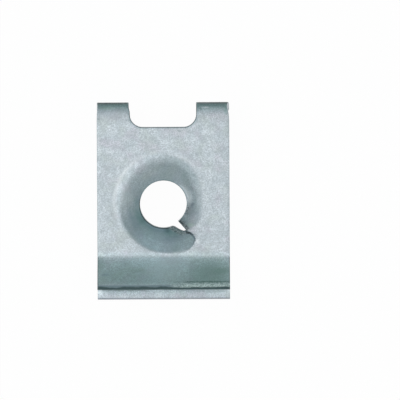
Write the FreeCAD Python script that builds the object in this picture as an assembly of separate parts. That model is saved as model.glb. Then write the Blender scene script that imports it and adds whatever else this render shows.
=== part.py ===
import FreeCAD, Part
import math
import os

# U-shaped clip nut folded from one strip of spring steel, all sizes in mm and degrees.
# The clip lies on its flat leg. +Y points at the fold, +Z up to the nut leg, and the origin
# is the centre of the clearance hole on the flat leg's outer face.

# The strip and its fold
width = 14.5
sheet = 0.7
flat_length = 21.35
hole_to_fold = 10.9
mouth_height = 4.72
fold_inner_radius = 0.6
edge_break = 0.06

# Open end: the neck that grips the panel and the lead-in lip beyond it
neck_to_hole = 5.8
neck_gap = 0.08
neck_inner_radius = 0.3
lip_length = 4.25
lip_rise = 38.5

# Notch through the fold, which leaves two arms
notch_width = 7.46
notch_depth = 2.8
notch_corner = 1.15

# Clearance hole in the flat leg, with a half-round lip drawn up on the fold's side
clearance_radius = 4.6
collar_wall = 0.6
collar_height = 0.92
collar_lean = 0.1
collar_end_y = -1.1
collar_round = 0.35
entry_roll = 0.35

# Single-turn thread impression in the nut leg, for a 6.3 mm tapping screw
thread_radius = 2.56
thread_pitch = 1.8
rim_low = 0.77
land_least = 0.06
land_wide = 0.24
land_turn = 65.0
land_spread = 55.0
base_low = 3.55
base_swell = 2.0
neck_clearance = 0.07
round_low = 1.55
round_high = 0.6
soft_turn = 128.0
soft_spread = 80.0
soft_round = 2.3
nose_turn = 342.0
nose_round = 0.35
drop_turn = 357.0
slit_angle = -48.3
slit_opening = 13.5
slit_reach = 3.9
slit_tip_width = 0.1

# Places that follow from the sizes above
half_sheet = sheet / 2
fold_mid_radius = fold_inner_radius + half_sheet
fold_outer_radius = fold_inner_radius + sheet
neck_mid_radius = neck_inner_radius + half_sheet
fold_centre_y = hole_to_fold - fold_outer_radius
mouth_centre_z = mouth_height - fold_outer_radius
neck_centre_z = sheet + neck_gap + sheet + neck_inner_radius

# The nut leg's mid-plane runs over the fold's bend and under the neck's bend, tangent to both
bends_apart = math.hypot(fold_centre_y + neck_to_hole, mouth_centre_z - neck_centre_z)
bend_radii = fold_mid_radius + neck_mid_radius
leg_tilt = math.atan2(mouth_centre_z - neck_centre_z, fold_centre_y + neck_to_hole)
leg_tilt = leg_tilt + math.asin(bend_radii / bends_apart)
leg_run = math.sqrt(bends_apart ** 2 - bend_radii ** 2)
leg_start_y = fold_centre_y - fold_mid_radius * math.sin(leg_tilt)
leg_start_z = mouth_centre_z + fold_mid_radius * math.cos(leg_tilt)
fold_to_thread = leg_start_y / math.cos(leg_tilt)
thread_centre_z = leg_start_z - leg_start_y * math.tan(leg_tilt)

# The impression swells until it just reaches the flat that is left before the neck's bend
impression_reach = leg_run - fold_to_thread - neck_clearance
base_high = impression_reach - 0.4 * round_high

# How far tools and sections run past what they cut or join
overrun = 0.3


def polar(radius, degrees, height=0.0):
    angle = math.radians(degrees)
    return FreeCAD.Vector(radius * math.cos(angle), radius * math.sin(angle), height)


def leg_placement():
    """Frame of the nut leg: the thread's centre on the leg's outer face, Y up the leg to the fold."""
    normal = FreeCAD.Vector(0, -math.sin(leg_tilt), math.cos(leg_tilt))
    centre = FreeCAD.Vector(0, 0, thread_centre_z) + normal * half_sheet
    return FreeCAD.Placement(centre, FreeCAD.Rotation(FreeCAD.Vector(1, 0, 0), math.degrees(leg_tilt)))


def side_point(place, heading, offset):
    """Point in the Y-Z plane at a distance to the left of a path's place and heading."""
    angle = math.radians(heading + 90)
    return FreeCAD.Vector(0, place[0] + offset * math.cos(angle), place[1] + offset * math.sin(angle))


def sheet_outline(place, heading, runs):
    """Outline of the bent sheet in the Y-Z plane, from its mid-line's straight runs and bends.

    A run is ("straight", length) or ("bend", mid radius, turn), and a positive turn is to the left.
    """
    sides = {half_sheet: [], -half_sheet: []}
    first = [side_point(place, heading, offset) for offset in sides]
    for run in runs:
        if run[0] == "straight":
            angle = math.radians(heading)
            end = (place[0] + run[1] * math.cos(angle), place[1] + run[1] * math.sin(angle))
            for offset, edges in sides.items():
                line = Part.LineSegment(side_point(place, heading, offset), side_point(end, heading, offset))
                edges.append(line.toShape())
        else:
            to_centre = math.copysign(run[1], run[2])
            centre = side_point(place, heading, to_centre)
            pivot = (centre.y, centre.z)
            places = [side_point(pivot, heading + run[2] * share, -to_centre) for share in (0.5, 1.0)]
            end = (places[1].y, places[1].z)
            for offset, edges in sides.items():
                bend_middle = side_point((places[0].y, places[0].z), heading + run[2] / 2, offset)
                bend_end = side_point(end, heading + run[2], offset)
                edges.append(Part.Arc(side_point(place, heading, offset), bend_middle, bend_end).toShape())
            heading = heading + run[2]
        place = end
    last = [side_point(place, heading, offset) for offset in sides]
    ends = [Part.LineSegment(*first).toShape(), Part.LineSegment(*last).toShape()]
    edges = sides[half_sheet] + sides[-half_sheet] + ends
    return Part.Wire(Part.__sortEdges__(edges))


def folded_strip():
    """The whole strip: flat leg, fold, sprung nut leg, neck and lip, with its sheared edges broken."""
    runs = [
        ("straight", flat_length - fold_outer_radius),
        ("bend", fold_mid_radius, 90),
        ("straight", mouth_centre_z - fold_outer_radius),
        ("bend", fold_mid_radius, 90 + math.degrees(leg_tilt)),
        ("straight", leg_run),
        ("bend", neck_mid_radius, -math.degrees(leg_tilt) - lip_rise),
        ("straight", lip_length),
    ]
    outline = sheet_outline((hole_to_fold - flat_length, half_sheet), 0, runs)
    outline.translate(FreeCAD.Vector(-width / 2, 0, 0))
    strip = Part.Face(outline).extrude(FreeCAD.Vector(width, 0, 0))
    side_edges = [edge for edge in strip.Edges if edge.BoundBox.XLength < overrun]
    return strip.makeFillet(edge_break, side_edges)


def notch_slug(bottom, floor, height):
    """Block as wide as the notch, square to the sheet it cuts, with rounded inner corners."""
    corner = FreeCAD.Vector(-notch_width / 2, bottom, floor)
    slug = Part.makeBox(notch_width, notch_depth + sheet, height, corner)
    inner = []
    for edge in slug.Edges:
        if edge.BoundBox.ZLength > height / 2 and edge.BoundBox.YMax < bottom + overrun:
            inner.append(edge)
    return slug.makeFillet(notch_corner, inner)


def fold_notch():
    """Notch through the fold: one slug square to the flat leg and one square to the nut leg."""
    bottom = hole_to_fold - notch_depth
    leg_inside = thread_centre_z - half_sheet + bottom * math.tan(leg_tilt)
    flat_slug = notch_slug(bottom, -overrun, leg_inside - half_sheet + overrun)
    leg_bottom = (bottom + half_sheet * math.sin(leg_tilt)) / math.cos(leg_tilt)
    leg_slug = notch_slug(leg_bottom, -mouth_height / 2, mouth_height / 2 + sheet)
    leg_slug.Placement = leg_placement()
    return flat_slug.fuse(leg_slug)


def clearance_cutter(top):
    height = top + overrun
    return Part.makeCylinder(clearance_radius, height, FreeCAD.Vector(0, 0, -overrun))


def rolled_entry():
    """Ring of metal that the drawn lip takes off the outer face's edge, fading towards the open end."""
    circles = []
    for share in (-0.2, 0.0, 0.1, 0.35, 1.0):
        drawn_in = entry_roll * (1 - math.sqrt(max(0.0, 1 - (1 - max(share, 0.0)) ** 2)))
        ring = Part.makeCircle(
            clearance_radius + drawn_in / 2,
            FreeCAD.Vector(0, drawn_in / 2, share * entry_roll),
            FreeCAD.Vector(0, 0, 1),
        )
        circles.append(Part.Wire(ring))
    return Part.makeLoft(circles, True, True)


def collar_section(degrees):
    """Section of the half-round lip, with its root sunk in the flat leg and its outer corner rounded."""
    outer = clearance_radius + collar_wall
    inner = clearance_radius - overrun
    share = (outer * math.sin(math.radians(degrees)) - collar_end_y) / (outer - collar_end_y)
    top = sheet + collar_height * share
    radius = collar_round * (0.2 + 0.8 * max(share, 0.0))
    arc_middle = radius * (1 - math.sqrt(0.5))
    shoulder = outer - collar_lean * max(share, 0.0)
    points = [
        polar(inner, degrees, half_sheet),
        polar(outer, degrees, half_sheet),
        polar(shoulder, degrees, top - radius),
        polar(shoulder - arc_middle, degrees, top - arc_middle),
        polar(shoulder - radius, degrees, top),
        polar(inner, degrees, top),
    ]
    edges = [
        Part.LineSegment(points[0], points[1]).toShape(),
        Part.LineSegment(points[1], points[2]).toShape(),
        Part.Arc(points[2], points[3], points[4]).toShape(),
        Part.LineSegment(points[4], points[5]).toShape(),
        Part.LineSegment(points[5], points[0]).toShape(),
    ]
    return Part.Wire(edges)


def locating_collar():
    """Half-round lip that stands up round the fold's side of the clearance hole, leaning in a little."""
    fade = math.degrees(math.asin(collar_end_y / (clearance_radius + collar_wall)))
    first = fade - 1
    last = 180 - first
    steps = 10
    sections = [collar_section(first + (last - first) * step / steps) for step in range(steps + 1)]
    collar = Part.makeLoft(sections, True, False)
    inside = Part.makeCone(
        clearance_radius,
        clearance_radius - 2 * collar_lean,
        2 * collar_height,
        FreeCAD.Vector(0, 0, sheet),
    )
    return collar.cut(clearance_cutter(sheet).fuse(inside))


def bump(turn, middle, spread):
    """Smooth rise from 0 to 1 and back, over a spread of degrees on each side of the middle."""
    return math.cos(math.radians(90 * min(abs(turn - middle) / spread, 1.0))) ** 2


def impression_form(turn):
    """Rim height, rim land, base radius and base rounding at an angle round from the slit.

    The rim climbs one pitch in a turn while the base swells. Its end is rounded to a nose, and over
    the last few degrees the sheet falls back to where it began. The slope is softest on the side
    towards the fold, and the rim is flattest between there and the slit.
    """
    stay = 1.0
    if turn > drop_turn:
        fall = (turn - drop_turn) / (360 - drop_turn)
        stay = 1 - fall * fall * (3 - 2 * fall)
    share = min(turn, drop_turn) / 360 * stay
    swell = share ** base_swell
    nose = min(max((turn - nose_turn) / (drop_turn - nose_turn), 0.0), 1.0)
    rim = rim_low + thread_pitch * share
    land = land_least + land_wide * bump(turn, land_turn, land_spread)
    base = base_low + (base_high - base_low) * swell - nose_round * stay * nose ** 2
    rounding = round_low + (round_high - round_low) * swell
    rounding = rounding + soft_round * bump(turn, soft_turn, soft_spread)
    return rim, land, base, rounding


def impression_section(turn):
    """Radial section of the sheet: flat, rounded base, conical flank and a narrow land at the rim."""
    rim, land, base, rounding = impression_form(turn)
    shoulder = thread_radius + land
    flank = math.atan2(rim, base - shoulder)
    foot = base + rounding * math.tan(flank / 2)
    inside = thread_radius - overrun
    outside = impression_reach + overrun
    azimuth = slit_angle + turn

    def on_bend(radius, angle):
        return polar(foot - radius * math.sin(angle), azimuth, rounding - radius * math.cos(angle))

    under = rounding + sheet
    under_tip = rim + (shoulder - inside) * math.tan(flank) - sheet / math.cos(flank)
    corners = [
        polar(outside, azimuth, 0),
        on_bend(rounding, 0),
        on_bend(rounding, flank),
        polar(shoulder, azimuth, rim),
        polar(inside, azimuth, rim),
        polar(inside, azimuth, under_tip),
        on_bend(under, flank),
        on_bend(under, 0),
        polar(outside, azimuth, -sheet),
    ]
    edges = [
        Part.LineSegment(corners[0], corners[1]).toShape(),
        Part.Arc(corners[1], on_bend(rounding, flank / 2), corners[2]).toShape(),
        Part.LineSegment(corners[2], corners[3]).toShape(),
        Part.LineSegment(corners[3], corners[4]).toShape(),
        Part.LineSegment(corners[4], corners[5]).toShape(),
        Part.LineSegment(corners[5], corners[6]).toShape(),
        Part.Arc(corners[6], on_bend(under, flank / 2), corners[7]).toShape(),
        Part.LineSegment(corners[7], corners[8]).toShape(),
        Part.LineSegment(corners[8], corners[0]).toShape(),
    ]
    return Part.Wire(edges)


def impression_part(first, last, steps):
    turns = [first + (last - first) * step / steps for step in range(steps + 1)]
    return Part.makeLoft([impression_section(turn) for turn in turns], True, False)


def slit_cutter():
    """V-shaped slit: one edge radial at the low side, the other opening towards the raised side."""
    floor = -2 * sheet
    inside = thread_radius - overrun
    tip_angle = math.degrees(slit_tip_width / slit_reach)
    low_inside = polar(inside, slit_angle, floor)
    low_tip = polar(slit_reach, slit_angle, floor)
    tip = polar(slit_reach + slit_tip_width / 2, slit_angle - tip_angle / 2, floor)
    high_tip = polar(slit_reach, slit_angle - tip_angle, floor)
    high_rim = polar(thread_radius, slit_angle - slit_opening, floor)
    high_inside = high_rim + (high_rim - high_tip) * overrun
    edges = [
        Part.LineSegment(low_inside, low_tip).toShape(),
        Part.Arc(low_tip, tip, high_tip).toShape(),
        Part.LineSegment(high_tip, high_inside).toShape(),
        Part.LineSegment(high_inside, low_inside).toShape(),
    ]
    rise = rim_low + thread_pitch + sheet - floor
    return Part.Face(Part.Wire(edges)).extrude(FreeCAD.Vector(0, 0, rise))


def thread_impression():
    """One-turn helical impression, as a disc of the nut leg in the leg's own frame."""
    ring = impression_part(0, nose_turn, 18)
    ring = ring.fuse(impression_part(nose_turn, drop_turn, 4))
    ring = ring.fuse(impression_part(drop_turn, 360, 5))
    floor = FreeCAD.Vector(0, 0, -2 * sheet)
    tall = rim_low + thread_pitch + 3 * sheet
    disc = Part.makeCylinder(impression_reach, tall, floor)
    hole = Part.makeCylinder(thread_radius, tall, floor)
    return ring.common(disc.cut(hole)).cut(slit_cutter())


def impression_seat():
    """Disc taken out of the nut leg's flat where the impression goes in."""
    floor = -sheet - neck_gap / 2
    return Part.makeCylinder(impression_reach, 2 * sheet, FreeCAD.Vector(0, 0, floor))


def clip():
    body = folded_strip()
    body = body.cut(fold_notch())
    body = body.cut(clearance_cutter(sheet + neck_gap / 2))
    body = body.cut(rolled_entry())
    body = body.fuse(locating_collar())
    seat = impression_seat()
    seat.Placement = leg_placement()
    body = body.cut(seat)
    ring = thread_impression()
    ring.Placement = leg_placement()
    return body.fuse(ring)


os.makedirs("parts", exist_ok=True)
clip_body = clip()
clip_body.exportStep("parts/clip_body.step")
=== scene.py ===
import math

import bmesh
import bpy
import numpy as np
from mathutils import Matrix, Vector


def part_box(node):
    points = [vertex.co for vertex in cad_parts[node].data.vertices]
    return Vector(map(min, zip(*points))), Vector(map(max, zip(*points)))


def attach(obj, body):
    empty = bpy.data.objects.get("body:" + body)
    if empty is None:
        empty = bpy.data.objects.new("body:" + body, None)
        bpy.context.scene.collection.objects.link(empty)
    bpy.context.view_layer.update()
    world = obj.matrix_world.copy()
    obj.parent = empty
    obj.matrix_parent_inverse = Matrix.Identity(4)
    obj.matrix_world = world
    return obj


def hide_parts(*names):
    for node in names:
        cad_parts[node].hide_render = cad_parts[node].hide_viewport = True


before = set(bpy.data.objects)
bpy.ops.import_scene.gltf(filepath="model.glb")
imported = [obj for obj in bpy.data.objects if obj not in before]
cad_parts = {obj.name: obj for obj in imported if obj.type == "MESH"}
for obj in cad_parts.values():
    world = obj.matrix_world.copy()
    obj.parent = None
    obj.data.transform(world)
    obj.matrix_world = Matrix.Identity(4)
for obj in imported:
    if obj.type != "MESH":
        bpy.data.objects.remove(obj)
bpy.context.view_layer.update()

# Sizes in millimetres and degrees, until a mesh is made. The strip is worked out flat:
# x across it, run along its mid-line from the open end of the flat leg, and out from the
# mid-line towards the outside of the fold.
MM = 0.001
clip_low, clip_high = (np.array(corner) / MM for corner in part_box("clip_body"))
width = clip_high[0] - clip_low[0]
flat_length = clip_high[1] - clip_low[1]
sheet = 0.7
half_sheet = sheet / 2
edge_round = 0.07
side = width / 2 - edge_round

# Fold, nut leg, neck and lip along the mid-line
fold_mid_radius = 0.95
fold_outer_radius = fold_mid_radius + half_sheet
neck_mid_radius = 0.65
mouth_height = 4.72
neck_to_hole = 5.8
neck_gap = 0.08
lip_length = 4.25
lip_rise = 38.5
web_length = mouth_height - 2 * fold_outer_radius
fold_centre_y = clip_high[1] - fold_outer_radius
mouth_centre_z = mouth_height - fold_outer_radius
neck_centre_z = sheet + neck_gap + half_sheet + neck_mid_radius
bend_radii = fold_mid_radius + neck_mid_radius
bends_run = fold_centre_y + neck_to_hole
bends_rise = mouth_centre_z - neck_centre_z
leg_tilt = math.atan2(bends_rise, bends_run) + math.asin(bend_radii / math.hypot(bends_run, bends_rise))
leg_run = math.sqrt(bends_run ** 2 + bends_rise ** 2 - bend_radii ** 2)
fold_to_thread = (fold_centre_y - fold_mid_radius * math.sin(leg_tilt)) / math.cos(leg_tilt)

lower_bend_run = flat_length - fold_outer_radius
web_run = lower_bend_run + fold_mid_radius * math.radians(90)
upper_bend_run = web_run + web_length
leg_start_run = upper_bend_run + fold_mid_radius * (math.radians(90) + leg_tilt)
neck_run = leg_start_run + leg_run
lip_start_run = neck_run + neck_mid_radius * (leg_tilt + math.radians(lip_rise))
lip_end_run = lip_start_run + lip_length

# The neck's bend is drawn out softly on both sides, within this distance of its middle
neck_soft, neck_soft_reach = 0.5, 2.0
path_points = 40001

# The strip's side edges draw in at the fold's two bends: from the start on, which is measured from
# the strip's middle, by this share of it at the mid-line, and more for each millimetre outside that
draw_in_left, draw_in_right = 0.08, 0.24
draw_in_start, draw_in_soft = 5.4, 1.8
draw_in_middle, draw_in_outside = 0.7, 0.8
draw_in_spread = 0.75
# The window's left side is moved out all over the fold, and the strip up to here with it
left_side_out, left_side_reach, left_side_soft = 0.12, 5.0, 1.2
fold_soft = 0.5

# Clearance hole and its half-round lip on the flat leg
clearance_run = -clip_low[1]
clearance_radius = 4.6
collar_wall = 0.6
collar_height = 0.92
collar_lean = 0.1
collar_end_y = -1.1
entry_roll = 0.35
clearance_disc = 5.6
# section of the lip: share of the way from the hole to the disc, and share of the lip's height
collar_section = np.array([
    (1.0, 0.0), (0.92, 0.0), (0.84, 0.0), (0.76, 0.006), (0.70, 0.03), (0.655, 0.075), (0.63, 0.14),
    (0.612, 0.25), (0.605, 0.4), (0.6, 0.55), (0.595, 0.66), (0.575, 0.77), (0.535, 0.865),
    (0.47, 0.94), (0.39, 0.985), (0.3, 1.0), (0.2, 1.0), (0.12, 1.0), (0.06, 0.988), (0.02, 0.955),
    (0.0, 0.9),
])
# the hole's edge is dulled over this share of the way to the disc, where there is no lip
dull_share = 0.12
# from the lip's top, the hole's wall is back at its radius over this part of its height
collar_lean_part = 1 / 1.4
collar_dark_height = 0.5
entry_dark = 0.6

# Window through the fold, and how far the meshed area round it goes on past its two ends
window_half_width = 3.64
window_corner = 1.42
window_into_flat_leg, window_into_nut_leg = 1.5, 1.332
margin_on_flat_leg, margin_on_nut_leg = 1.55, 1.915
window_start = lower_bend_run - window_into_flat_leg
window_end = leg_start_run + window_into_nut_leg
window_straight = (window_start + window_corner, window_end - window_corner)
flat_area_end = window_start - margin_on_flat_leg
window_area_end = window_end + margin_on_nut_leg

# Thread impression in the nut leg
thread_run = leg_start_run + fold_to_thread
thread_radius = 2.56
thread_pitch = 1.8
rim_low = 0.77
# the rim's flat land: its least width, and how much wider it is about one turn
land_least, land_wide, land_turn, land_spread = 0.04, 0.26, 65.0, 55.0
rim_soft, land_soft = 0.03, 0.3
# turn round from the slit, radius of the impression's foot and rounding of its base
impression_table = np.array([
    (0, 4.10, 1.8), (18, 4.66, 3.0), (33, 4.42, 2.1), (48, 4.30, 1.6), (63, 4.48, 1.6),
    (78, 4.76, 1.9), (93, 5.02, 2.2), (108, 5.38, 2.5), (123, 5.55, 2.6), (138, 5.62, 2.6),
    (153, 5.60, 2.4), (168, 5.50, 2.3), (183, 5.44, 2.2), (198, 5.40, 2.1), (213, 5.40, 2.0),
    (228, 5.42, 1.8), (243, 5.42, 1.4), (258, 5.42, 1.1), (273, 5.43, 0.95), (288, 5.53, 0.85),
    (303, 5.60, 0.7), (318, 5.66, 0.6), (333, 5.76, 0.5), (348, 5.97, 0.45), (360, 6.00, 0.45),
])
table_smooth = 17
flank_limit = math.radians(56)
drop_turn = 357.0
# the nose: how far its front is turned back at each radius, and how much further out its foot lies
nose_radii = (4.0, 4.35, 4.7, 5.0, 5.25, 5.45, 5.62, 5.78, 5.9, 6.0)
nose_leans = (0.0, 1.3, 2.3, 2.2, 1.2, -0.8, -4.0, -9.0, -15.0, -22.0)
nose_reach, nose_reach_turn, nose_reach_spread = 0.42, 349.0, 31.0
rings_before_neck = 0.07
impression_reach = leg_run - fold_to_thread - rings_before_neck

# Slit from the thread's hole to the nose: it leans towards its tip, and its high edge's corner at
# the hole is set back
slit_angle = -48.3
slit_opening = 13.2
slit_bow = 0.9
slit_reach = 4.0
slit_lean, slit_lean_soft = 2.6, 0.45
slit_corner, slit_corner_reach, slit_corner_turns = 3.5, 0.26, 60
slit_dull = 0.03

# Darkening by turn, partly for the stretched metal and partly painted shade on the impression's slopes, with
# painted light where it is below 0: by the hole, half way out and on the outer flank
stretch_and_shade_table = np.array([
    (0, 0.5, 0.55, 0.7), (18, 0.2, 0.25, 1.0), (33, 0.4, 0.45, 0.6), (60, 0.1, 0.1, 0.2),
    (78, 0.2, 0.15, 0.55), (93, 0.25, 0.25, 0.55), (105, 0.4, 0.5, 0.5), (120, 0.5, 0.45, 0.35),
    (135, 0.5, 0.42, 0.3), (150, 0.5, 0.3, 0.32), (165, 0.4, 0.06, 0.18), (195, 0.3, 0.1, 0.1),
    (210, 0.5, -0.12, -0.04), (225, 0.8, -0.04, -0.04), (240, 0.82, 0.46, 0.0),
    (255, 1.0, 0.92, 0.28), (270, 1.13, 0.92, 0.3), (285, 0.85, 0.48, 0.3), (315, 0.88, 0.53, 0.36),
    (330, 1.18, 0.86, 0.45), (345, 0.75, 0.8, 0.1), (360, 0.5, 0.5, 0.1),
])
half_way_radius, half_way_soft = 2.9, 0.7
outer_radius, outer_soft = 3.7, 1.2
# turn, and the width over which the darkening fades to the foot
fade_turns = (0, 45, 90, 150, 225, 275, 320, 360)
fade_widths = (0.7, 0.6, 0.7, 0.65, 0.6, 0.5, 0.35, 0.3)
past_foot = 0.1
# Single marks: turn, spread of turn, way out, its width and strength. The way out is the radius on
# the flank, and otherwise the distance from the hole or from the foot. The flank's marks paint light
# and shade, the marks that clear and pale the land and the one by the foot paint a highlight, and the
# land's torn marks are torn metal.
flank_light_and_shade = (
    (228, 42, 4.25, 0.32, -0.32), (228, 42, 4.85, 0.22, 0.24), (115, 30, 5.3, 0.22, -0.3),
    (205, 26, 3.5, 0.2, 0.22),
)
land_shade_cleared = (58, 42, 0.27, 0.2, 0.75)
land_highlight = (68, 48, 0.45, 0.24, 0.5)
land_torn = (34, 30, 0.25, 0.3, 0.7)
foot_highlight = (200, 75, 0.0, 0.22, 0.35)
rim_dark, rim_dark_width = 0.95, 0.09
# the nose's front, dark between these turns and out to this radius
front_dark, front_turns, front_softs = 1.3, (356.3, 360.2), (1.2, 1.0)
front_reach, front_reach_soft, front_foot_soft = 5.55, 0.4, 0.3
# the slit's low and high edge: how dark and how wide, how far it is torn and how softly that ends
slit_edge_marks = ((0.7, 0.1, 0.5, 0.25), (0.8, 0.13, 0.75, 0.3))
slit_marks_reach, slit_marks_soft = slit_reach + 0.25, 0.3
slit_torn, slit_torn_start = 0.9, 0.15
under_dark = 0.6

# Sheared edges: how dark their rounds are, and the face's border beside them, as a stretch. On the
# side edges both begin this far past the neck's start.
dark_round, dark_border = 3.0, 0.5
lip_dark_start, lip_dark_soft = 0.2, 0.5

# Fineness of the surfaces, in cells
across = 96
edge_round_cells, edge_wall_cells = 3, 4
flat_side_cells, flat_spread_cells = 60, 8
collar_wall_cells, entry_cells, entry_face_cells = 7, 6, 4
corner_cells, window_straight_cells, arm_cells = 9, 58, 14
leg_side_cells, leg_spread_cells = 84, 6
rim_cells, slit_rings, outer_rings, cut_cells = 4, 24, 28, 6
neck_cells, lip_cells = 12, 8

# Places, rings and turns closer than this are one, and points when the grids are merged
same_place, same_ring, same_turn = 1e-6, 0.02, 0.01
merge_distance = 0.004
sharp_angle = 50


def ease(share):
    """Soft step: 3t^2 - 2t^3 of the share t, held at 0 and 1 outside it."""
    t = np.clip(share, 0.0, 1.0)
    return t * t * (3 - 2 * t)


def within(value, low, high, low_soft, high_soft):
    """1 between low and high, and a soft step down to each of them."""
    return ease((value - low) / low_soft) * ease((high - value) / high_soft)


def bell(value, place, spread):
    """Bell curve: e to the minus square of the distance over the spread."""
    return np.exp(-((value - place) / spread) ** 2)


def bump(turn, place, spread):
    """Smooth rise from 0 to 1 and back, a cosine squared over the spread on each side."""
    return np.cos(np.radians(90 * np.minimum(np.abs(turn - place) / spread, 1.0))) ** 2


# The mid-line's heading, the path's places and their table
bend_marks = np.array([
    0.0, lower_bend_run, web_run, upper_bend_run, leg_start_run, neck_run, lip_start_run, lip_end_run,
])
bend_headings = np.array([0.0, 0.0, 90.0, 90.0, 180.0, 180.0, 180.0, 180.0])
bend_headings[4:6] += math.degrees(leg_tilt)
bend_headings[6:] -= lip_rise
marks = np.linspace(0.0, lip_end_run, path_points)
headings = np.radians(np.interp(marks, bend_marks, bend_headings))
near_neck = np.abs(marks - (neck_run + lip_start_run) / 2) < neck_soft_reach
averaged = int(2 * neck_soft / marks[1])
soft_headings = np.convolve(headings, np.ones(averaged) / averaged, mode="same")
headings[near_neck] = soft_headings[near_neck]
middle_headings = (headings[1:] + headings[:-1]) / 2
path_y = clip_low[1] + np.concatenate([[0.0], np.cumsum(np.cos(middle_headings))]) * marks[1]
path_z = half_sheet + np.concatenate([[0.0], np.cumsum(np.sin(middle_headings))]) * marks[1]


def fold(x, run, out):
    """Bent strip: the mid-line's point at this run, moved out along the right of its heading.

    y = path_y + out sin(heading), z = path_z - out cos(heading). Where the strip is bent its side
    edges draw in by a little, as a bell curve about each bend, and the left arm is narrower at the
    window all over the fold.
    """
    heading = np.interp(run, marks, headings)
    y = np.interp(run, marks, path_y) + out * np.sin(heading)
    z = np.interp(run, marks, path_z) - out * np.cos(heading)
    bends = ((lower_bend_run + web_run) / 2, (upper_bend_run + leg_start_run) / 2)
    bent = sum(bell(run, place, draw_in_spread) for place in bends)
    from_middle = np.abs(x)
    outer_edge = ease((from_middle - draw_in_start) / draw_in_soft)
    drawn_in = np.where(x > 0, draw_in_right, draw_in_left) * outer_edge * bent
    drawn_in = drawn_in * (draw_in_middle + draw_in_outside * out)
    half = fold_soft / 2
    folded = within(run, lower_bend_run + half, leg_start_run - half, fold_soft, fold_soft)
    inner_edge = within(from_middle, 0, left_side_reach, left_side_soft, left_side_soft)
    moved_out = np.where(x > 0, 0.0, left_side_out) * inner_edge * folded
    x = x + np.sign(x) * (moved_out - drawn_in)
    return np.stack([x, y, z], axis=-1) * MM


def sheared_section(outside):
    """Section of a sheared edge: quarter round, wall, quarter round, as distance out and height."""
    turn = np.radians(np.linspace(0, 90, edge_round_cells + 1))
    over, up = edge_round * np.sin(turn), edge_round * np.cos(turn)
    wall_top = half_sheet - edge_round
    wall = np.linspace(wall_top, -wall_top, edge_wall_cells + 1)[1:-1]
    reach = np.concatenate([over, np.full(len(wall), edge_round), up])
    height = np.concatenate([wall_top + up, wall, -(wall_top + up)[::-1]])
    return outside * reach[:, None], height[:, None]


def edge_marks(height):
    """Marks over a sheared edge's section: cleanly cut on its wall, dark on its two rounds."""
    wall = ease((half_sheet - np.abs(height)) / edge_round)
    rounds = np.where(wall > 0.01, dark_round, dark_border) * (wall < 0.99)
    return -wall ** 3, rounds


patches = []


def add_patch(x, run, out, cut=0.0, strain_and_shade=0.0):
    """Keeps a grid of points of the strip, bent by fold, with its marks for the finish.

    The marks are its run, its way out, its cut (1 where torn, -1 where cleanly sheared) and its
    darkening, as stretched and dark metal and as painted shade.
    """
    x, run, out, cut, strain_and_shade = np.broadcast_arrays(x, run, out, cut, strain_and_shade)
    patches.append((fold(x, run, out), run, out, cut, strain_and_shade))


def add_faces(x, run, strain_and_shade=0.0):
    """The same grid on the sheet's outer face and on its inner one."""
    for out in (half_sheet, -half_sheet):
        add_patch(x, run, out, 0.0, strain_and_shade)


def rectangle(low, high, side_runs):
    """Loop round an area, from its low left corner to the right, and each edge's own spacing."""
    row = np.linspace(-side, side, across + 1)
    up = len(side_runs) - 1
    x = np.concatenate([row[:-1], np.full(up, side), row[:0:-1], np.full(up, -side)])
    run = np.concatenate([np.full(across, low), side_runs[:-1], np.full(across, high), side_runs[:0:-1]])
    return x, run


def turned_to(first, *loops):
    """Each loop started at another point of it, and closed with that point again."""
    return [np.append(np.roll(loop, -first), loop[first]) for loop in loops]


def between(inner, outer, cells):
    """Straight blend from one line of points to another, in rows."""
    share = np.linspace(0.0, 1.0, cells + 1)[:, None]
    return inner[None, :] * (1 - share) + outer[None, :] * share


# The flat leg

flat_sides = np.linspace(edge_round, flat_area_end, flat_side_cells + 1)


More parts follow.
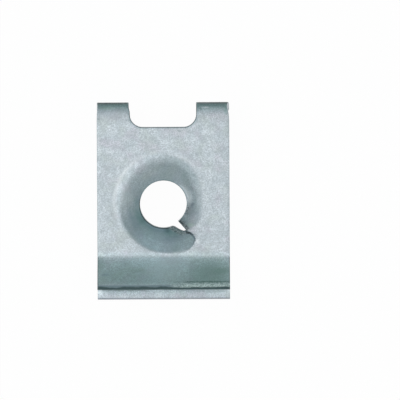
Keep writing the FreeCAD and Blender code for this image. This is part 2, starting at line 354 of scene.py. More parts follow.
def flat_leg():
    """Flat leg: rings round the clearance hole, spread to the leg's rectangle.

    A ring's radius is the hole's plus a fixed step. The half-round lip's height goes with
    sin(angle), and each ring has its own share of it, so the lip's section fades to nothing.
    """
    x, run = rectangle(edge_round, flat_area_end, flat_sides)
    angle = np.unwrap(np.arctan2(run - clearance_run, x))
    x, run, angle = turned_to(0, x, run, angle)
    angle[-1] += 2 * math.pi
    sine, cosine = np.sin(angle), np.cos(angle)
    outer_wall = clearance_radius + collar_wall
    raised = np.clip((outer_wall * sine - collar_end_y) / (outer_wall - collar_end_y), 0, 1)
    lift = collar_height * raised

    def add_ring(radius, out, cut=0.0, strain_and_shade=0.0):
        add_patch(radius * cosine, clearance_run + radius * sine, out, cut, strain_and_shade)

    step, share = collar_section[:, :1], collar_section[:, 1:]
    radius = clearance_radius + step * (clearance_disc - clearance_radius) - collar_lean * share * raised
    # dull the hole's edge where there is no lip
    dull = edge_round * (1 - raised) * np.clip(1 - step / dull_share, 0, 1) ** 2
    inner_out = -half_sheet - share * lift + dull
    add_ring(radius, inner_out, 0.0, ease(share * 2) * ease(lift / collar_dark_height))

    rim_x, rim_run = clearance_disc * cosine, clearance_run + clearance_disc * sine
    add_faces(between(rim_x, x, flat_spread_cells), between(rim_run, run, flat_spread_cells))

    # the hole's wall, from the lip's top down to the rolled entry at the outer face
    roll = edge_round + (entry_roll - edge_round) * (1 + sine) / 2
    down = np.linspace(0, 1, collar_wall_cells + 1)[:, None]
    wall_radius = radius[-1] + (clearance_radius - radius[-1]) * ease(down / collar_lean_part)
    add_ring(wall_radius, inner_out[-1] * (1 - down) + (half_sheet - roll) * down, -1.0)
    bend = np.radians(np.linspace(0, 90, entry_cells + 1))[:, None]
    entry_radius = clearance_radius + roll * (1 - np.cos(bend))
    add_ring(entry_radius, half_sheet - roll * (1 - np.sin(bend)), 0.0, entry_dark)
    face_x = between(entry_radius[-1] * cosine, rim_x, entry_face_cells)
    face_run = between(clearance_run + entry_radius[-1] * sine, rim_run, entry_face_cells)
    add_patch(face_x, face_run, half_sheet)


# The fold, with its window

window_sides = np.concatenate([
    np.linspace(flat_area_end, window_straight[0], corner_cells + 1)[:-1],
    np.linspace(*window_straight, window_straight_cells + 1),
    np.linspace(window_straight[1], window_area_end, corner_cells + 1)[1:],
])


def window_loop(inset):
    """Rounded rectangle of the window, moved into the metal by inset, with the directions out of it.

    Each of its four sides is half a corner's arc, a straight and half an arc, in as many cells as
    the side of the area round it.
    """
    reach = window_half_width - window_corner
    low, high = window_straight
    centres = [(-reach, low), (reach, low), (reach, high), (-reach, high)]
    straights = (across - 2 * corner_cells, window_straight_cells) * 2
    radius = window_corner + inset
    loops = []
    for place, straight in enumerate(straights):
        start, end = centres[place], centres[(place + 1) % 4]
        facing = 270 + 90 * place
        turn = np.radians(np.concatenate([
            np.linspace(facing - 45, facing, corner_cells + 1)[:-1],
            np.full(straight + 1, facing),
            np.linspace(facing, facing + 45, corner_cells + 1)[1:],
        ]))
        out_x, out_run = np.cos(turn), np.sin(turn)
        ends = np.zeros(corner_cells), np.ones(corner_cells)
        share = np.concatenate([ends[0], np.linspace(0, 1, straight + 1), ends[1]])
        x = start[0] + (end[0] - start[0]) * share + radius * out_x
        run = start[1] + (end[1] - start[1]) * share + radius * out_run
        loops.append([values[:-1] for values in (x, run, out_x, out_run)])
    return [np.concatenate(values) for values in zip(*loops)]


def fold_area():
    """The fold's two arms: a blend from the window's rounded loop to the area's rectangle."""
    x, run = rectangle(flat_area_end, window_area_end, window_sides)
    loop_x, loop_run, out_x, out_run = window_loop(edge_round)
    x, run, loop_x, loop_run, out_x, out_run = turned_to(0, x, run, loop_x, loop_run, out_x, out_run)
    by_edge = np.zeros((arm_cells + 1, 1))
    by_edge[0] = dark_border
    add_faces(between(loop_x, x, arm_cells), between(loop_run, run, arm_cells), by_edge)
    reach, height = sheared_section(-1.0)
    add_patch(loop_x + reach * out_x, loop_run + reach * out_run, height, *edge_marks(height))


# The nut leg, with its thread impression

leg_sides = np.linspace(window_area_end, neck_run, leg_side_cells + 1)

# The impression's table, drawn smooth by a running mean
turns_fine = np.arange(-30.0, 391.0)
table_fine = [np.interp(turns_fine, impression_table[:, 0], column) for column in impression_table[:, 1:].T]
foot_fine, round_fine = (
    np.convolve(column, np.ones(table_smooth) / table_smooth, mode="same") for column in table_fine)


def impression_form(turn):
    """Rim height, shoulder radius, foot radius, base rounding and flank angle at a turn.

    The rim climbs by the pitch, evenly. The flank is the line from the shoulder that touches the
    base's arc: A sin f + (R - rim) cos f = R, with A from the shoulder to the foot. Over the last
    few degrees all fall back along a soft step.
    """
    fall = ease((turn - drop_turn) / (360 - drop_turn))
    share = np.minimum(turn, drop_turn) / 360 * (1 - fall)
    rim = rim_low + thread_pitch * share
    shoulder = thread_radius + land_least + land_wide * bump(turn, land_turn, land_spread)
    foot, wanted = (np.interp(turn, turns_fine, fine) * (1 - fall) + np.interp(0, turns_fine, fine) * fall
                    for fine in (foot_fine, round_fine))
    reach = foot - shoulder
    most = (reach * np.sin(flank_limit) - rim * np.cos(flank_limit)) / (1 - np.cos(flank_limit))
    rounding = np.minimum(wanted, most)
    flank = np.arcsin(rounding / np.hypot(reach, rounding - rim)) - np.arctan2(rounding - rim, reach)
    return rim, shoulder, foot, rounding, flank


def least(first, second, width_of_round):
    """Smaller of two heights, with the corner between them rounded by a parabola."""
    close = np.clip(1 - np.abs(first - second) / width_of_round, 0, 1)
    return np.minimum(first, second) - width_of_round * close ** 2 / 4


def impression_heights(radius, turn):
    """Heights of the impression's outer face and underside over the leg's outer face.

    Outside the foot it is flat. Inside, an arc of the base's rounding leads into the flank's
    straight line, and the rim's level cuts that off. The underside is the same line a sheet lower.
    """
    rim, shoulder, foot, rounding, flank = impression_form(turn)

    def base_and_flank(bend_radius, line):
        inside = np.clip(foot - radius, 0, bend_radius * np.sin(flank))
        arc = rounding - np.sqrt(bend_radius ** 2 - inside ** 2)
        return np.where(radius > foot - bend_radius * np.sin(flank), arc, line)

    line = rim + (shoulder - radius) * np.tan(flank)
    soft = rim_soft + land_soft * bump(turn, land_turn, land_spread)
    outer = least(base_and_flank(rounding, line), rim + 0 * radius, soft)
    under = base_and_flank(rounding + sheet, line - sheet / np.cos(flank))
    return outer, under, foot


def mark(turn, way_out, row):
    """One mark: a bump round the turn times a bell curve over the way out, times its strength."""
    place, spread, middle, wide, strength = row
    return strength * bump(turn, place, spread) * bell(way_out, middle, wide)


def impression_marks(radius, real_turn, form_turn, foot, slit):
    """How far the impression's metal is darkened, partly as stretched metal and partly as painted shade on
    its slopes, and how torn it is, over its rings.

    The darkening fades to the foot over a width that changes round the turn. It is above 1, which is
    nearly black, along the rim and the nose's front, and below 0, which is a pale painted highlight, on
    the land at the right and just outside the foot at the left. The metal is torn beside the slit's
    edges and in patches on the land.
    """
    by_hole, half_way, on_flank = (
        np.interp(form_turn, stretch_and_shade_table[:, 0], column) for column in stretch_and_shade_table[:, 1:].T)
    strain_and_shade = by_hole + (half_way - by_hole) * ease((radius - half_way_radius) / half_way_soft)
    strain_and_shade = strain_and_shade + (on_flank - half_way) * ease((radius - outer_radius) / outer_soft)
    fade = np.interp(form_turn, fade_turns, fade_widths)
    strain_and_shade = strain_and_shade * ease((foot + past_foot - radius) / fade)
    for row in flank_light_and_shade:
        strain_and_shade = strain_and_shade + mark(form_turn, radius, row)
    from_rim = radius - thread_radius
    strain_and_shade = strain_and_shade * (1 - mark(real_turn, from_rim, land_shade_cleared))
    strain_and_shade = strain_and_shade - mark(real_turn, from_rim, land_highlight)
    strain_and_shade = strain_and_shade - mark(form_turn, radius - foot, foot_highlight)
    strain_and_shade = strain_and_shade + rim_dark * bell(from_rim, 0, rim_dark_width)
    front = within(form_turn, *front_turns, *front_softs) * (radius > slit_reach)
    front = front * ease((foot - radius) / front_foot_soft) * ease((front_reach - radius) / front_reach_soft)
    strain_and_shade = strain_and_shade + front_dark * front

    by_slit = ease((slit_marks_reach - radius) / slit_marks_soft)
    arcs = [turn * np.radians(radius) for turn in (real_turn, np.clip(360 - slit - real_turn, 0, None))]
    torn = 0.0
    for arc, (dark, dark_width, torn_reach, torn_soft) in zip(arcs, slit_edge_marks):
        strain_and_shade = strain_and_shade + by_slit * dark * bell(arc, 0, dark_width)
        torn = np.maximum(torn, ease((torn_reach - arc) / torn_soft))
    torn = by_slit * torn * slit_torn * ease(np.minimum(*arcs) / slit_torn_start)
    return strain_and_shade, np.maximum(torn, mark(real_turn, from_rim, land_torn))


def nut_leg():
    """Nut leg: rings round the thread's hole out to the impression's edge, spread to a rectangle.

    A ring's points go once round from the slit's low edge to its high edge. Inside the slit's
    reach they are squeezed into the 360 degrees less the slit's width at that radius. Outside it
    the form is turned on by the nose's lean at the radius, so that the nose's front bows round.
    """
    x, run = rectangle(window_area_end, neck_run, leg_sides)
    angle = np.degrees(np.arctan2(thread_run - run, x))
    first = int(np.argmin(np.abs(angle - slit_angle)))
    x, run = turned_to(first, x, run)
    x, run = x[::-1], run[::-1]
    angle = np.degrees(np.unwrap(np.arctan2(thread_run - run, x)))
    turn = angle - angle[0]

    bend = np.radians(np.linspace(0, 90, rim_cells + 1)[:-1])
    radius = np.concatenate([
        thread_radius + edge_round * (1 - np.cos(bend)),
        np.linspace(thread_radius + edge_round, slit_reach, slit_rings),
        np.linspace(slit_reach, impression_reach, outer_rings)[1:],
    ])[:, None]
    cut_rings = int(np.argmin(np.abs(radius - slit_reach))) + 1
    from_nose = np.abs(np.mod(turn - nose_reach_turn + 180, 360) - 180)
    past_slit = ease((radius - slit_reach) / (impression_reach - slit_reach))
    radius = radius + nose_reach * bump(from_nose, 0, nose_reach_spread) * past_slit
    from_rim = radius - thread_radius

    along_slit = np.clip((slit_reach - radius) / (slit_reach - thread_radius), 0, 1)
    slit = slit_opening * along_slit ** slit_bow
    in_corner = np.clip(1 - from_rim / slit_corner_reach, 0, 1) ** 2
    last_turns = ease((turn - 360 + slit_corner_turns) / slit_corner_turns)
    real_turn = turn * (360 - slit) / 360 - slit_corner * in_corner * last_turns
    lean = slit_lean * ease((slit_reach + slit_lean_soft - radius) / slit_lean_soft)
    azimuth = np.radians(slit_angle + real_turn - lean)
    ring_x, ring_run = radius * np.cos(azimuth), thread_run - radius * np.sin(azimuth)

    form_turn = np.mod(real_turn - np.interp(radius, nose_radii, nose_leans), 360 + 1e-9)
    outer, under, foot = impression_heights(radius, form_turn)
    to_rim = np.clip(edge_round - from_rim, 0, None)
    dull = edge_round - np.sqrt(np.clip(edge_round ** 2 - to_rim ** 2, 0, None))
    at_slit = (radius < slit_reach - same_ring) * (np.minimum(turn, 360 - turn) < same_turn)
    outer = outer - dull - slit_dull * at_slit
    under = under + dull + slit_dull * at_slit
    strain_and_shade, torn = impression_marks(radius, real_turn, form_turn, foot, slit)
    add_patch(ring_x, ring_run, half_sheet + outer, torn, strain_and_shade)
    add_patch(ring_x, ring_run, half_sheet + under, 0.0, under_dark * np.minimum(strain_and_shade, 1.0))
    add_faces(between(ring_x[-1], x, leg_spread_cells), between(ring_run[-1], run, leg_spread_cells))

    # the hole's wall and the slit's two cut faces
    down = np.linspace(0, 1, cut_cells + 1)[:, None]
    for line in (np.s_[0, :], np.s_[:cut_rings, 0], np.s_[:cut_rings, -1]):
        face_out = half_sheet + outer[line] * (1 - down) + under[line] * down
        add_patch(ring_x[line], ring_run[line], face_out, 1.0)


# The neck and the lip

lip_runs = np.concatenate([
    np.linspace(neck_run, lip_start_run, neck_cells + 1)[:-1],
    np.linspace(lip_start_run, lip_end_run - edge_round, lip_cells + 1),
])


def beside_lip(run):
    """1 along the lip and 0 before the neck, for the dark along its side edges."""
    return ease((run - neck_run - lip_dark_start) / lip_dark_soft)


def neck_and_lip():
    """Neck's bend and the lip beyond it, a plain grid carried along the mid-line."""
    x, run = np.meshgrid(np.linspace(-side, side, across + 1), lip_runs)
    add_faces(x, run, dark_border * (np.abs(x) > side - same_place) * beside_lip(run))


def strip_edges():
    """Sheared edge all round the strip: its rounded section carried along the four sides."""
    runs = np.concatenate([flat_sides, window_sides[1:], leg_sides[1:], lip_runs[1:]])
    x, run = turned_to(0, *rectangle(runs[0], runs[-1], runs))
    out_x = np.where(np.abs(x) > side - same_place, np.sign(x), 0.0)
    at_start, at_end = run < runs[0] + same_place, run > runs[-1] - same_place
    out_run = np.where(at_end, 1.0, 0.0) - np.where(at_start, 1.0, 0.0)
    reach, height = sheared_section(1.0)
    band_run = run + reach * out_run
    cut, rounds = edge_marks(height)
    add_patch(x + reach * out_x, band_run, height, cut, rounds * beside_lip(band_run) * np.abs(out_x))


flat_leg()
fold_area()
nut_leg()
neck_and_lip()
strip_edges()


def join_patches(name):
    """All the grids in one mesh, four points to a face, with their doubled border points merged."""
    points, faces = [], []
    finish = {"along": [], "outward": [], "cut_face": [], "stretch_and_shade": []}
    first = 0
    for grid, *kept in patches:
        rows, columns = grid.shape[:2]
        index = first + np.arange(rows * columns).reshape(rows, columns)
        corners = (index[:-1, :-1], index[:-1, 1:], index[1:, 1:], index[1:, :-1])
        faces.append(np.stack(corners, axis=-1).reshape(-1, 4))
        points.append(grid.reshape(-1, 3))
        for values, grid_values in zip(finish.values(), kept):
            values.append(grid_values.reshape(-1))
        first += rows * columns
    mesh = bpy.data.meshes.new(name)
    mesh.from_pydata(np.concatenate(points), [], np.concatenate(faces))
    for label, values in finish.items():
        layer = mesh.attributes.new(label, "FLOAT", "POINT")
        layer.data.foreach_set("value", np.concatenate(values).astype(np.float32))
    build = bmesh.new()
    build.from_mesh(mesh)
    bmesh.ops.remove_doubles(build, verts=build.verts, dist=merge_distance * MM)
    bmesh.ops.recalc_face_normals(build, faces=build.faces)
    open_edges = sum(1 for edge in build.edges if len(edge.link_faces) != 2)
    build.to_mesh(mesh)
    build.free()
    mesh.polygons.foreach_set("use_smooth", np.ones(len(mesh.polygons), bool))
    mesh.set_sharp_from_angle(angle=math.radians(sharp_angle))
    made = bpy.data.objects.new(name, mesh)
    bpy.context.scene.collection.objects.link(made)
    print(name, "faces", len(mesh.polygons), "open edges", open_edges)
    return made


clip = join_patches("spring_steel_clip")
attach(clip, "root")
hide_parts("clip_body")


# Finish

def new_material(name):
    """An empty material, its node tree and its shader."""
    material = bpy.data.materials.new(name)
    material.use_nodes = True
    return material, material.node_tree, material.node_tree.nodes["Principled BSDF"]


def join(tree, value, socket):
    """Sets a socket to a number or a colour of three parts, or links an output to it."""
    if isinstance(value, tuple):
        socket.default_value = (*value, 1)
    elif isinstance(value, (float, int)):
        socket.default_value = value
    else:
        tree.links.new(value, socket)


def place_node(tree, kind, **settings):
    """A node with these properties, and input values where the name is an input's."""
    node = tree.nodes.new(kind)
    for name, value in settings.items():
        if name in node.inputs:
            node.inputs[name].default_value = value
        else:
            setattr(node, name, value)
    return node


def noise(tree, where, scale, detail, roughness):
    """Cloudy noise, scale cells to a unit of its places, as a node with grey and colour outputs."""
    node = place_node(tree, "ShaderNodeTexNoise", Scale=scale, Detail=detail, Roughness=roughness)
    join(tree, where, node.inputs["Vector"])
    return node


def grey_noise(tree, where, scale, detail, roughness, low=0.3, high=0.7, to_low=0.0, to_high=1.0):
    """Grey of the noise, with its range from low to high spread to another range."""
    node = noise(tree, where, scale, detail, roughness)
    return ranged(tree, node.outputs["Fac"], low, high, to_low, to_high)


def ranged(tree, value, low, high, to_low=0.0, to_high=1.0):
    """Value's range from low to high spread to another range, and held at its ends."""
    node = place_node(tree, "ShaderNodeMapRange", clamp=True)
    join(tree, value, node.inputs["Value"])
    for name, number in (("From Min", low), ("From Max", high), ("To Min", to_low), ("To Max", to_high)):
        node.inputs[name].default_value = number
    return node.outputs["Result"]


def blend_colour(tree, share, first, second, mode="MIX"):
    """Blend from the first colour to the second by a share."""
    node = place_node(tree, "ShaderNodeMix", data_type="RGBA", blend_type=mode)
    for place, value in ((0, share), (6, first), (7, second)):
        join(tree, value, node.inputs[place])
    return node.outputs[2]


def arithmetic(tree, operation, first, second):
    """Result of one of the maths node's operations on two values."""
    node = place_node(tree, "ShaderNodeMath", operation=operation)
    join(tree, first, node.inputs[0])
    join(tree, second, node.inputs[1])
    return node.outputs[0]


def times(tree, first, second):
    """Product of two values."""
    return arithmetic(tree, "MULTIPLY", first, second)


def plus(tree, first, second):
    """Sum of two values."""
    return arithmetic(tree, "ADD", first, second)


def along_ramp(tree, along, stops):
    """Colour by the place along the strip, blended between (mark in mm, colour) stops."""
    ramp = place_node(tree, "ShaderNodeValToRGB")
    join(tree, ranged(tree, along, 0.0, lip_end_run), ramp.inputs[0])
    elements = ramp.color_ramp.elements
    while len(elements) < len(stops):
        elements.new(0.5)
    for element, (place, colour) in zip(elements, stops):
        element.position = place / lip_end_run
        element.color = (*colour, 1)
    return ramp.outputs[0]


def even(level):
    """Grey of one level."""
    return (level, level, level)


# Painted light and shade along the strip, by which the zinc's colour is multiplied: painted shade over the
# fold's two bends and along the lip, painted light at the neck and on the flat leg's end below the lip, and
# a painted shadow there beside the lip's end
painted_strip_light_and_shade = (
    (0.0, (0.54, 0.56, 0.64)), (0.10, (0.66, 0.68, 0.76)), (0.17, even(1.05)), (0.45, even(1.17)),
    (0.7, even(1.42)), (0.8, even(1.46)), (0.91, even(1.3)), (1.02, even(0.95)), (1.15, even(0.5)),
    (2.0, even(1.0)), (lower_bend_run - 0.2, even(1.0)), (lower_bend_run + 0.7, (0.62, 0.68, 0.67)),
    (web_run + 0.2, even(0.95)), (upper_bend_run - 0.3, even(0.95)),
    (upper_bend_run + 0.15, (0.08, 0.13, 0.12)), (upper_bend_run + 0.52, (0.10, 0.15, 0.14)),
    (upper_bend_run + 0.66, (0.22, 0.30, 0.28)), (upper_bend_run + 0.82, (0.38, 0.50, 0.48)),
    (upper_bend_run + 0.94, (0.58, 0.72, 0.70)), (upper_bend_run + 1.05, (0.74, 0.85, 0.83)),
    (upper_bend_run + 1.3, (0.81, 0.88, 0.88)), (upper_bend_run + 1.47, (0.74, 0.77, 0.78)),
    (upper_bend_run + 1.83, even(0.87)), (upper_bend_run + 2.7, even(1.03)),
    (neck_run - 0.5, even(1.0)), (neck_run - 0.1, (1.00, 1.05, 1.05)),
    (neck_run + 0.65, (1.16, 1.24, 1.22)), (neck_run + 1.4, (0.96, 1.08, 1.04)),
    (neck_run + 2.4, (0.89, 1.01, 0.97)), (lip_end_run - 0.5, (0.84, 0.96, 0.92)),
    (lip_end_run - 0.18, (0.87, 0.99, 0.96)), (lip_end_run, even(1.0)),
)

# Marks laid on the strip, dark and pale: x and run from this place by the thread's centre, half sizes,
# strength, colour. Among them are a painted highlight by the nose and a painted shadow beside the lip's end,
# darker at the left and lighter at the right.
strip_mark_zero = (0.35, thread_run + 0.25)
strip_marks = (
    (-6.2, -10.25, 1.1, 0.30, 0.45, (0.33, 0.46, 0.41)), (-7.05, -9.2, 0.28, 0.22, 0.5, (0.22, 0.28, 0.30)),
    (-4.1, -9.1, 0.16, 0.14, 0.5, (0.24, 0.30, 0.34)), (-4.9, -10.0, 0.9, 0.20, 0.3, (0.28, 0.33, 0.38)),
    (4.6, -10.7, 0.75, 0.20, 0.6, (0.16, 0.20, 0.22)), (4.15, -10.1, 0.18, 0.16, 0.6, (0.17, 0.26, 0.27)),
    (4.7, -10.25, 0.45, 0.10, 0.9, (0.72, 0.78, 0.82)), (6.9, -10.1, 0.32, 0.55, 0.55, (0.26, 0.40, 0.40)),
    (3.15, 0.25, 0.26, 0.45, 0.6, (0.16, 0.21, 0.27)), (2.72, 0.46, 0.15, 0.17, 0.9, (0.07, 0.10, 0.11)),
    (2.60, 0.88, 0.16, 0.22, 0.9, (0.07, 0.10, 0.12)), (2.95, 2.5, 0.55, 0.32, 0.4, (0.50, 0.66, 0.58)),
    # painted highlight beside the nose
    (3.75, 4.3, 0.32, 0.28, 0.7, (0.76, 0.81, 0.84)),
    (-2.5, -7.7, 0.22, 0.13, 0.4, (0.26, 0.30, 0.34)), (-1.2, -7.75, 0.30, 0.10, 0.4, (0.26, 0.30, 0.34)),
    (1.8, -7.9, 0.40, 0.10, 0.5, (0.24, 0.30, 0.33)), (-3.0, 8.3, 1.2, 0.5, 0.3, (0.24, 0.36, 0.31)),
    (6.3, 8.4, 1.3, 0.7, 0.4, (0.20, 0.34, 0.28)), (-6.4, 8.9, 0.7, 0.3, 0.4, (0.22, 0.31, 0.40)),
    (0.5, 6.9, 3.2, 1.1, 0.35, (0.62, 0.72, 0.72)), (-6.9, 7.2, 0.5, 1.6, 0.35, (0.27, 0.36, 0.36)),
    (0.1, 8.5, 2.6, 2.0, 0.35, (0.62, 0.74, 0.74)), (5.0, 9.0, 3.2, 2.8, 0.5, (0.20, 0.34, 0.29)),
    (-4.8, 9.3, 2.4, 1.6, 0.25, (0.22, 0.34, 0.32)), (-5.6, -9.65, 1.9, 0.75, 0.22, (0.40, 0.46, 0.52)),
    # painted shadow beside the lip's end, darker at the left, and painted light at the right
    (-4.2, -33.98, 3.4, 0.22, 0.4, (0.14, 0.22, 0.19)), (5.2, -33.95, 2.8, 0.22, 0.35, (0.80, 0.86, 0.90)),
)
strip_mark_ragged = (0.7, 0.5, 0.0)

# Noises of the coat: cells to a metre, detail and roughness, and the range that is spread. The
# strip marks' edges have theirs in cells to a millimetre.
tint_noise, streak_noise = (560, 2.0, 0.5), (1300, 5.0, 0.7)
cloud_noise, torn_noise = (700, 5.0, 0.62, 0.35, 0.65), (4800, 3.0, 0.7, 0.44, 0.58)
sheen_noise, grain_noise, dent_noise = (1500, 4.0, 0.6), (6500, 4.0, 0.65), (900, 2.0, 0.5)
strip_mark_noise = (1.6, 4.0, 0.65)

# Tones of the zinc, of its two tints, which show from one level of their noise to another, and of
# its specks: cells to a metre, detail, range of the noise, strength and tone
zinc_dark, zinc_pale = (0.565, 0.64, 0.69), (0.725, 0.80, 0.85)
lilac_tint, green_tint = (0.60, 0.575, 0.665), (0.53, 0.61, 0.585)
tint_levels, tint_strength = (0.50, 0.66), 0.5
specks = (
    (7500, 1.0, 0.40, 0.60, 0.64, (0.38, 0.43, 0.46)), (3000, 2.0, 0.38, 0.62, 0.3, (0.42, 0.48, 0.50)),
    (2600, 2.0, 0.60, 0.70, 0.25, (0.30, 0.35, 0.38)),
)

# Tones of worked metal, with the painted shade and painted highlight on the impression, and of cut metal
stretch_and_shade_green, stretch_and_shade_blue = (0.20, 0.315, 0.33), (0.245, 0.33, 0.38)
nearly_black, painted_highlight = (0.05, 0.08, 0.085), (0.88, 0.93, 0.95)
torn_dark, torn_pale = (0.10, 0.135, 0.145), (0.50, 0.54, 0.56)
hole_wall_dark, hole_wall_pale = (0.20, 0.25, 0.27), (0.36, 0.41, 0.43)
sheared_dark, sheared_pale, sheared_speck = (0.46, 0.50, 0.54), (0.60, 0.63, 0.68), (0.34, 0.38, 0.41)
# the burr's tones, and the painted shade of the lip's rolled-over edge beside it
burr_dark, burr_pale, rollover_shade = (0.30, 0.41, 0.40), (0.60, 0.72, 0.71), (0.12, 0.20, 0.18)
# the lip's end below: its torn part, darkened further as a painted shadow of the gap under it
lip_end_torn_and_shadow, lip_end_left = (0.065, 0.11, 0.115), (0.22, 0.30, 0.335)
flat_end = (0.30, 0.335, 0.36)

# The burr begins between two places across the strip. Its bright band and the dark line above it,
# which is painted shade of the lip's rolled-over edge, lie at places before the lip's end, and all
# three have a ragged edge. The outer half of the sheet begins between two heights over its middle.
burr_across, ragged_across = (1.4, 3.2), (-1.5, 1.5)
burr_band, rollover_shade_place, rollover_shade_width = (0.42, 0.28), 0.53, (0.04, 0.17)
ragged_band, rollover_shade_strength = (-0.06, 0.06), 0.75
outer_half, ragged_height = (0.0, 0.2), (-0.12, 0.12)


def mottled_zinc(tree, coordinates, tints, clouds):
    """Zinc coat: pale clouds, tinted lilac and green in places, with three sizes of darker specks."""
    colour = blend_colour(tree, clouds, zinc_dark, zinc_pale)
    for channel, tint in enumerate((lilac_tint, green_tint)):
        share = ranged(tree, tints[channel], *tint_levels, 0.0, tint_strength)
        colour = blend_colour(tree, share, colour, tint)
    for scale, detail, low, high, strength, tone in specks:
        mask = grey_noise(tree, coordinates, scale, detail, 0.6, low, high)
        colour = blend_colour(tree, times(tree, mask, strength), colour, tone)
    return colour


def stretched_and_shaded_metal(tree, coordinates, tints, stretch_and_shade, colour):
    """Darker with the stretching and the painted shade, in streaks: nearly black above 1, and a pale painted
    highlight below 0.
    """
    worked = times(tree, stretch_and_shade, grey_noise(tree, coordinates, *streak_noise, to_low=0.8))
    tone = blend_colour(tree, ranged(tree, tints[2], 0.4, 0.6), stretch_and_shade_green, stretch_and_shade_blue)
    colour = blend_colour(tree, ranged(tree, worked, 0.0, 1.0), colour, tone)
    colour = blend_colour(tree, ranged(tree, stretch_and_shade, 1.02, 1.5), colour, nearly_black)
    return blend_colour(tree, ranged(tree, stretch_and_shade, 0.0, -1.0), colour, painted_highlight)


def strip_mark_mask(tree, place, x, run, wide, long):
    """Soft oval on the flattened strip, 1 in its middle and 0 from its edge on."""
    offset = place_node(tree, "ShaderNodeVectorMath", operation="SUBTRACT")
    join(tree, place, offset.inputs[0])
    offset.inputs[1].default_value = (strip_mark_zero[0] + x, strip_mark_zero[1] + run, 0)
    scaled = place_node(tree, "ShaderNodeVectorMath", operation="DIVIDE")
    join(tree, offset.outputs[0], scaled.inputs[0])
    scaled.inputs[1].default_value = (wide, long, 1)
    length = place_node(tree, "ShaderNodeVectorMath", operation="LENGTH")
    join(tree, scaled.outputs[0], length.inputs[0])
    return ranged(tree, length.outputs["Value"], 0.3, 1.0, 1.0, 0.0)


def with_strip_marks(tree, from_middle, along, colour):
    """Marks laid on the flattened strip, some of them painted shade and light, whose places a noise shifts,
    so their edges are ragged.
    """
    strip = place_node(tree, "ShaderNodeCombineXYZ")
    join(tree, from_middle, strip.inputs["X"])
    join(tree, along, strip.inputs["Y"])
    ragged = noise(tree, strip.outputs[0], *strip_mark_noise)
    shift = place_node(tree, "ShaderNodeVectorMath", operation="MULTIPLY_ADD")
    join(tree, ragged.outputs["Color"], shift.inputs[0])
    shift.inputs[1].default_value = strip_mark_ragged
    join(tree, strip.outputs[0], shift.inputs[2])
    for *oval, strength, tone in strip_marks:
        mask = strip_mark_mask(tree, shift.outputs[0], *oval)
        colour = blend_colour(tree, times(tree, mask, strength), colour, tone)
    return colour


def burred(tree, along, outward, right, torn, burr, colour):
    """Burr pressed back on the lip's top at the right: a bright band, with a dark line above it that is
    painted shade of the rolled-over edge.
    """
    ragged_along = plus(tree, along, ranged(tree, torn, 0, 1, *ragged_band))
    to_end = arithmetic(tree, "SUBTRACT", lip_end_run, ragged_along)
    on_top = times(tree, right, ranged(tree, outward, *outer_half))
    band = times(tree, on_top, ranged(tree, to_end, *burr_band))
    colour = blend_colour(tree, band, colour, burr)
    from_line = arithmetic(tree, "ABSOLUTE", arithmetic(tree, "SUBTRACT", to_end, rollover_shade_place), 0.0)
    line = times(tree, on_top, ranged(tree, from_line, *rollover_shade_width, rollover_shade_strength, 0.0))
    return blend_colour(tree, line, colour, rollover_shade)


def cut_metal(tree, cut, clouds, torn, colour):
    """Torn metal by the slit and on the hole's wall, and pale sheared edges all round the strip."""
    by_slit = blend_colour(tree, torn, torn_dark, torn_pale)
    hole_wall = blend_colour(tree, torn, hole_wall_dark, hole_wall_pale)
    torn_metal = blend_colour(tree, ranged(tree, cut, 0.92, 0.98), by_slit, hole_wall)
    sheared = blend_colour(tree, clouds, sheared_dark, sheared_pale)
    sheared = blend_colour(tree, times(tree, torn, 0.3), sheared, sheared_speck)
    colour = blend_colour(tree, cut, colour, torn_metal)
    return blend_colour(tree, ranged(tree, cut, 0.0, -1.0), colour, sheared)


def cut_ends(tree, along, outward, right, clouds, burr, colour):
    """Strip's two ends: grey at the flat leg's, and at the lip's dark below, as its torn part with a painted
    shadow of the gap under it, and rubbed bright above.
    """
    colour = blend_colour(tree, ranged(tree, along, 0.05, 0.02), colour, flat_end)
    depth = plus(tree, outward, ranged(tree, clouds, 0, 1, *ragged_height))
    upper = blend_colour(tree, right, lip_end_left, burr)
    lip_end = blend_colour(tree, ranged(tree, depth, *outer_half), lip_end_torn_and_shadow, upper)
    edge = lip_end_run - edge_round
    return blend_colour(tree, ranged(tree, along, edge - 0.03, edge + 0.03), colour, lip_end)


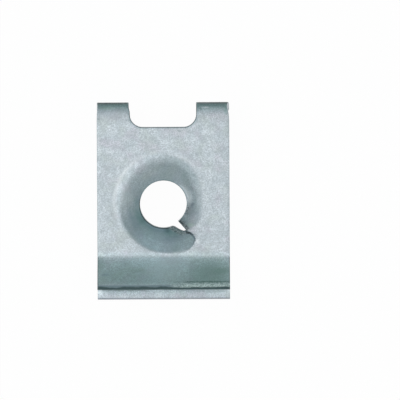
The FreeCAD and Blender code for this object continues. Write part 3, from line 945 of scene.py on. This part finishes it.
def zinc_coated_steel():
    """Dull zinc coat: pale and mottled on the flats, darker where the sheet was stretched or cut, and with
    painted light and shade.

    Colours go on in this order: the mottled zinc, the painted light and shade along the strip, the
    stretched metal with painted shade on the impression, the marks on the strip with a painted highlight
    and shadow among them, the burr with the painted shade of the lip's rolled-over edge, the cut faces
    and the two ends, with a painted shadow at the lip's end.
    """
    material, tree, shader = new_material("zinc_coated_steel")
    coordinates = place_node(tree, "ShaderNodeTexCoord").outputs["Object"]
    names = ("along", "outward", "cut_face", "stretch_and_shade")
    along, outward, cut, stretch_and_shade = (
        place_node(tree, "ShaderNodeAttribute", attribute_name=name).outputs["Fac"] for name in names)
    millimetres = place_node(tree, "ShaderNodeVectorMath", operation="SCALE", Scale=1 / MM)
    join(tree, coordinates, millimetres.inputs[0])
    parts = place_node(tree, "ShaderNodeSeparateXYZ")
    join(tree, millimetres.outputs[0], parts.inputs[0])
    from_middle = parts.outputs["X"]

    tints = place_node(tree, "ShaderNodeSeparateColor")
    join(tree, noise(tree, coordinates, *tint_noise).outputs["Color"], tints.inputs[0])
    clouds = grey_noise(tree, coordinates, *cloud_noise)
    torn = grey_noise(tree, coordinates, *torn_noise)
    ragged_middle = plus(tree, from_middle, ranged(tree, clouds, 0, 1, *ragged_across))
    right = ranged(tree, ragged_middle, *burr_across)
    burr = blend_colour(tree, torn, burr_dark, burr_pale)

    colour = mottled_zinc(tree, coordinates, tints.outputs, clouds)
    # the zinc multiplied by the painted light and shade along the strip
    colour = blend_colour(tree, 1.0, colour, along_ramp(tree, along, painted_strip_light_and_shade), "MULTIPLY")
    # stretched metal and painted shade on the impression
    colour = stretched_and_shaded_metal(tree, coordinates, tints.outputs, stretch_and_shade, colour)
    colour = with_strip_marks(tree, from_middle, along, colour)
    colour = burred(tree, along, outward, right, torn, burr, colour)
    colour = cut_metal(tree, cut, clouds, torn, colour)
    colour = cut_ends(tree, along, outward, right, clouds, burr, colour)
    join(tree, colour, shader.inputs["Base Color"])

    rough = grey_noise(tree, coordinates, *sheen_noise, to_low=0.36, to_high=0.52)
    join(tree, rough, shader.inputs["Roughness"])
    shader.inputs["Metallic"].default_value = 0.75
    grain = noise(tree, coordinates, *grain_noise).outputs["Fac"]
    dents = noise(tree, coordinates, *dent_noise).outputs["Fac"]
    relief = place_node(tree, "ShaderNodeBump", Strength=0.35, Distance=0.02 * MM)
    join(tree, plus(tree, times(tree, grain, 0.35), dents), relief.inputs["Height"])
    join(tree, relief.outputs["Normal"], shader.inputs["Normal"])
    return material


clip.data.materials.append(zinc_coated_steel())


# Floor, lamps and camera, with places and sizes in metres

def studio_floor():
    """Pale floor under the clip, which keeps the clip's shadow and is white to the camera."""
    size, white = 0.4, (1.0, 1.0, 1.0)
    mesh = bpy.data.meshes.new("studio_floor")
    corners = [(-size, -size), (size, -size), (size, size), (-size, size)]
    level = (clip_low[2] - 0.01) * MM
    mesh.from_pydata([(x, y, level) for x, y in corners], [], [(0, 1, 2, 3)])
    floor = bpy.data.objects.new("studio_floor", mesh)
    bpy.context.scene.collection.objects.link(floor)
    material, tree, shader = new_material("pale_floor")
    join(tree, (0.95, 0.95, 0.95), shader.inputs["Base Color"])
    shader.inputs["Roughness"].default_value = 0.8
    glow = place_node(tree, "ShaderNodeEmission")
    join(tree, white, glow.inputs["Color"])
    rays = place_node(tree, "ShaderNodeLightPath").outputs
    seen = arithmetic(tree, "MAXIMUM", rays["Is Camera Ray"], rays["Is Glossy Ray"])
    seen = arithmetic(tree, "MAXIMUM", seen, rays["Is Transmission Ray"])
    mix = place_node(tree, "ShaderNodeMixShader")
    join(tree, times(tree, seen, 0.97), mix.inputs[0])
    join(tree, shader.outputs[0], mix.inputs[1])
    join(tree, glow.outputs[0], mix.inputs[2])
    join(tree, mix.outputs[0], tree.nodes["Material Output"].inputs["Surface"])
    mesh.materials.append(material)


def lamp(name, place, size, power):
    """Square soft lamp at a place, turned to the middle of the frame."""
    data = bpy.data.lights.new(name, "AREA")
    data.energy = power
    data.size = size
    made = bpy.data.objects.new(name, data)
    made.location = place
    made.rotation_euler = (-Vector(place)).to_track_quat("-Z", "Y").to_euler()
    bpy.context.scene.collection.objects.link(made)


def studio_sky():
    """World's light, from dark and greenish at the floor's level to pale grey overhead."""
    world = bpy.data.worlds.new("studio")
    bpy.context.scene.world = world
    world.use_nodes = True
    tree = world.node_tree
    heights = place_node(tree, "ShaderNodeSeparateXYZ")
    join(tree, place_node(tree, "ShaderNodeTexCoord").outputs["Generated"], heights.inputs[0])
    height = ranged(tree, heights.outputs["Z"], 0.0, 1.0)
    sky = blend_colour(tree, height, (0.12, 0.215, 0.215), (0.78, 0.765, 0.765))
    join(tree, sky, tree.nodes["Background"].inputs["Color"])


def set_camera():
    """Long lens above the clip, leaning a little to its open end and rolled as the photo is.

    One photo pixel is a fixed length on the nut leg, and the view's middle is as many pixels off
    the thread's centre as in the photo.
    """
    pixels = 400
    pixels_to_mm = 9.13
    thread_pixel = (163.4, 202.6)
    lean, roll = math.radians(6.5), math.radians(0.29)
    distance, sensor = 1.0, 36
    back = Vector((0, -math.sin(lean), math.cos(lean)))
    level_up = Vector((0, math.cos(lean), math.sin(lean)))
    right = Vector((math.cos(roll), 0, 0)) - level_up * math.sin(roll)
    up = Vector((math.sin(roll), 0, 0)) + level_up * math.cos(roll)
    leg_middle = fold(np.array(0.0), np.array(thread_run), np.array(half_sheet))
    right_by = (pixels / 2 - thread_pixel[0]) / pixels_to_mm * MM
    down_by = (pixels / 2 - thread_pixel[1]) / pixels_to_mm * MM
    aim = Vector(leg_middle.tolist()) + right * right_by - up * down_by
    data = bpy.data.cameras.new("camera")
    data.sensor_width = sensor
    data.lens = sensor * distance / (pixels / pixels_to_mm * MM)
    data.clip_start, data.clip_end = 0.01, 10
    camera = bpy.data.objects.new("camera", data)
    turn = Matrix((right, up, back)).transposed()
    camera.matrix_world = Matrix.Translation(aim + back * distance) @ turn.to_4x4()
    bpy.context.scene.collection.objects.link(camera)
    bpy.context.scene.camera = camera


studio_floor()
lamp("key_lamp", (-0.14, -0.05, 0.33), 0.28, 0.24)
lamp("fill_lamp", (0.18, 0.02, 0.28), 0.2, 0.08)
studio_sky()
set_camera()
bpy.context.scene.view_settings.view_transform = "Standard"
